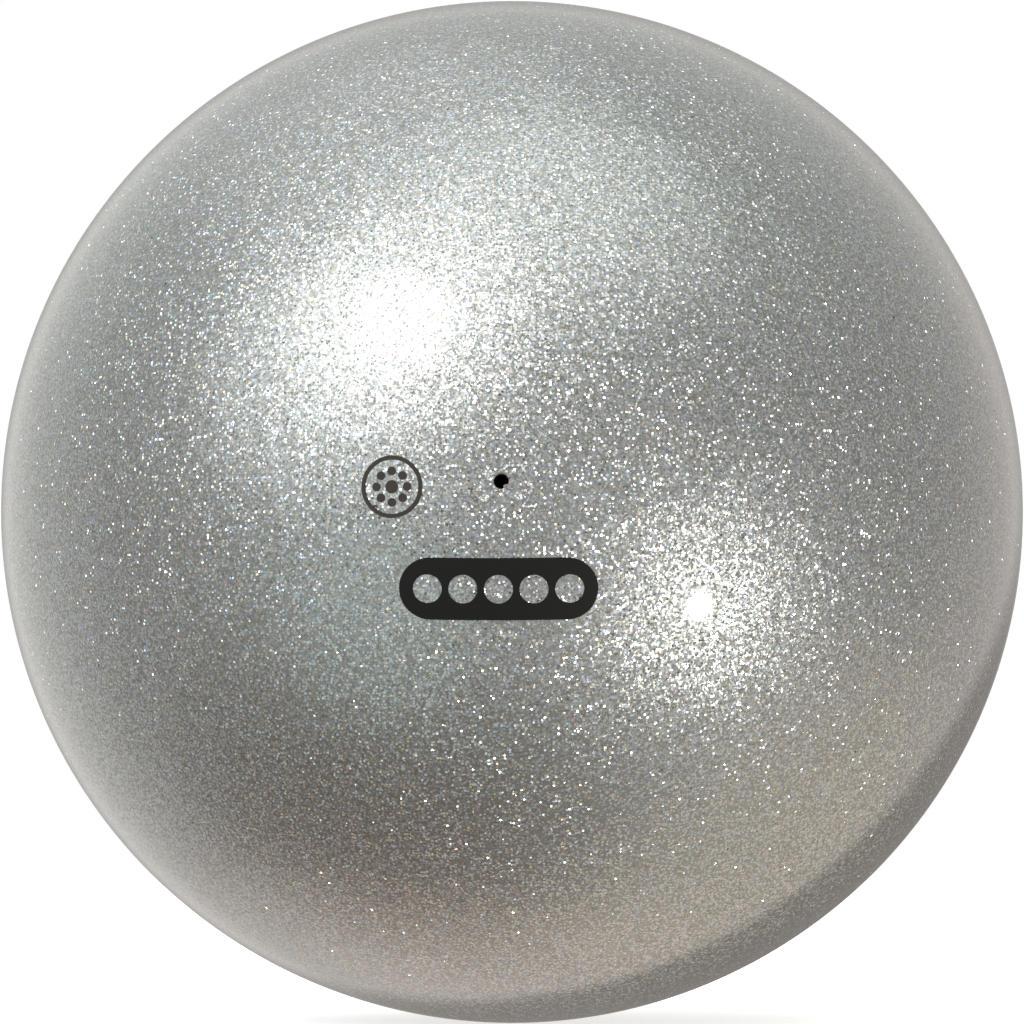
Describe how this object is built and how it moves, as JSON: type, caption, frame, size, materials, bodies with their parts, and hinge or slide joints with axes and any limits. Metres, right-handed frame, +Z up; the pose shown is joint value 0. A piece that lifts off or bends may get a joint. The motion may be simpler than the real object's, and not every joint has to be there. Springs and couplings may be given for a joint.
{
  "type": "rhythmic gymnastics ball",
  "caption": "Hollow rubber gymnastics ball with an airtight liner, a silver glitter lacquer and a self-sealing needle valve.",
  "frame": {"origin": "centre of the ball", "axes": "-Y points out of the valve's needle hole, +Z is up with both printed marks upright, +X is to the right of the valve seen from outside"},
  "size_m": [0.185, 0.185, 0.185],
  "materials": {
    "glitter_lacquer": "gloss",
    "silver_base": "satin",
    "cover_rubber": "matte",
    "liner_rubber": "satin",
    "housing_rubber": "matte",
    "core_rubber": "satin",
    "black_ink": "satin",
    "brown_ink": "satin"
  },
  "bodies": {
    "ball": {"glitter_lacquer": "glitter_lacquer", "base_coat": "silver_base", "rubber_cover": "cover_rubber", "inner_liner": "liner_rubber", "valve_housing": "housing_rubber", "valve_patch": "liner_rubber", "valve_core": "core_rubber", "long_mark": "black_ink", "round_mark": "brown_ink"},
    "upper_lip": {"valve_lip_upper": "core_rubber"},
    "lower_lip": {"valve_lip_lower": "core_rubber"}
  },
  "joints": [
    {"name": "lip_upper_hinge", "type": "hinge", "parent": "ball", "child": "upper_lip", "pos_m": [0, -0.07715, 0.0029], "axis": [1, 0, 0], "range_deg": [0, 28], "stiffness_Nm_per_rad": 0.0001, "springref_deg": -17.19},
    {"name": "lip_lower_hinge", "type": "hinge", "parent": "ball", "child": "lower_lip", "pos_m": [0, -0.07715, -0.0029], "axis": [-1, 0, 0], "range_deg": [0, 28]}
  ],
  "couplings": [
    {"joint": "lip_lower_hinge", "follows": "lip_upper_hinge", "ratio": 1}
  ]
}
